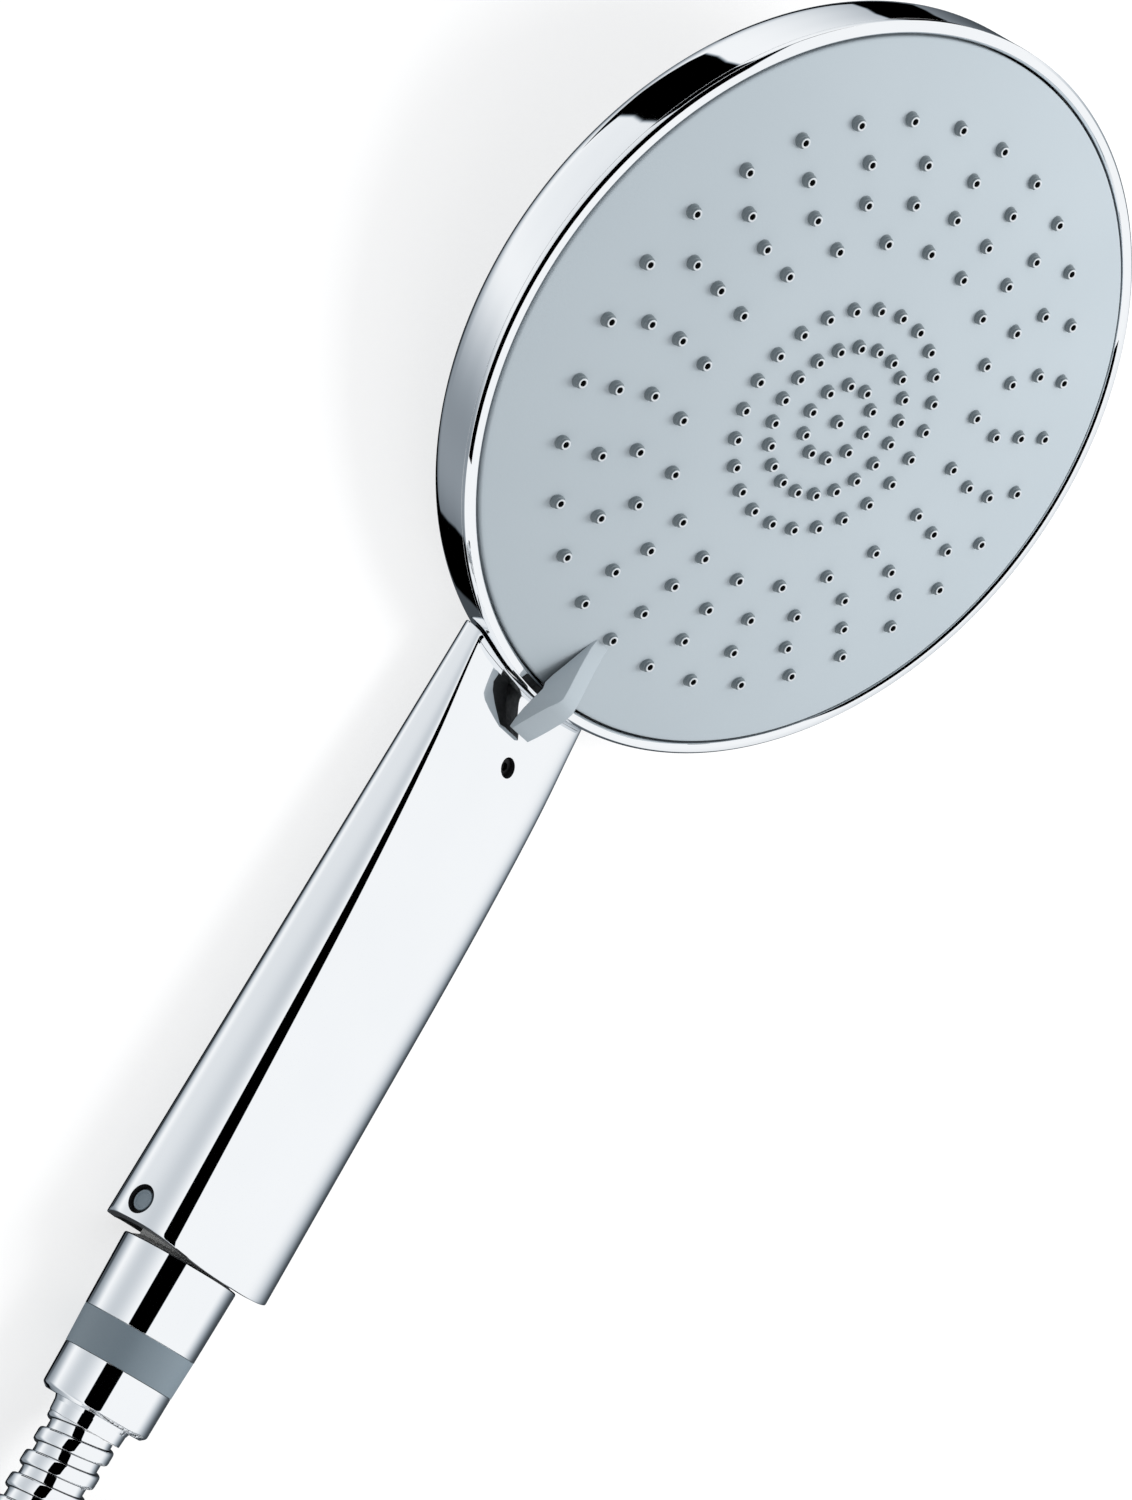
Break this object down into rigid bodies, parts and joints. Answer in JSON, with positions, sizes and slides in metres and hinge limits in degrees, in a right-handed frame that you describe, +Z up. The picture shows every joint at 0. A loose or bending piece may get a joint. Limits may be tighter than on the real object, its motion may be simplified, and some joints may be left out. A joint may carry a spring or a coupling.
{
  "type": "handheld shower head",
  "caption": "Round handheld shower head with a flat-topped chromed handle, turning grey spray face with lever, union nut and ribbed metal hose.",
  "frame": {"origin": "middle of the underside of the shower head without its hose, which lies on its back on a surface", "axes": "+Z up, +Y from the hose end of the handle to the head, +X to the right seen from above with the head at the top; the spray face looks up and leans 15.3 degrees towards the hose"},
  "size_m": [0.2221, 0.4861, 0.0543],
  "materials": {
    "chromed_shell": "polished",
    "chromed_fitting": "polished",
    "hose_steel": "satin",
    "grey_face": "satin",
    "grey_trim": "satin",
    "grey_silicone": "matte",
    "white_plastic": "satin",
    "black_plastic": "satin",
    "black_rubber": "matte",
    "steel": "satin",
    "brass": "satin"
  },
  "bodies": {
    "shower_head": {"handle_shell": "chromed_shell", "head_shell": "chromed_shell", "bezel_ring": "chromed_shell", "click_spring": "steel", "chamber_plate": "white_plastic", "chamber_screws": "steel", "head_gasket": "black_rubber", "port_seals": "black_rubber", "hub_seal": "black_rubber", "pivot_screw": "steel", "fixing_screw": "steel", "water_tube": "white_plastic", "tube_o_rings": "black_rubber", "inlet_connector": "white_plastic", "end_plug": "black_plastic", "button_spring": "steel", "flow_regulator": "grey_silicone", "inlet_strainer": "steel", "hose_insert": "brass", "hose_washer": "black_rubber", "ferrule": "chromed_fitting", "hose": "hose_steel", "hose_coil": "hose_steel", "end_insert": "chromed_fitting", "end_washer": "black_rubber"},
    "spray_face": {"face_plate": "grey_face", "nozzle_mat": "grey_silicone", "spray_disc": "white_plastic"},
    "union_nut": {"nut_sleeve": "chromed_fitting", "grip_band": "grey_trim", "lower_sleeve": "chromed_fitting"},
    "button": {"release_button": "grey_trim"},
    "far_nut": {"end_nut": "chromed_fitting"}
  },
  "joints": [
    {"name": "selector_turn", "type": "hinge", "parent": "shower_head", "child": "spray_face", "pos_m": [0, 0.07517, 0.04136], "axis": [0, -0.2639, 0.9646], "range_deg": [-20, 20], "deforming": ["click_spring"]},
    {"name": "nut_spin", "type": "hinge", "parent": "shower_head", "child": "union_nut", "pos_m": [0, -0.12453, 0.01275], "axis": [0, -0.9992, 0.0401], "continuous": true},
    {"name": "far_nut_spin", "type": "hinge", "parent": "shower_head", "child": "far_nut", "pos_m": [-0.00672, -0.21404, 0.04226], "axis": [-0.6199, -0.7847, 0], "continuous": true},
    {"name": "button_press", "type": "slide", "parent": "shower_head", "child": "button", "axis": [1, 0, 0], "range_m": [0, 0.0012], "stiffness_N_per_m": 1500, "springref_m": -0.001, "deforming": ["button_spring"]}
  ]
}
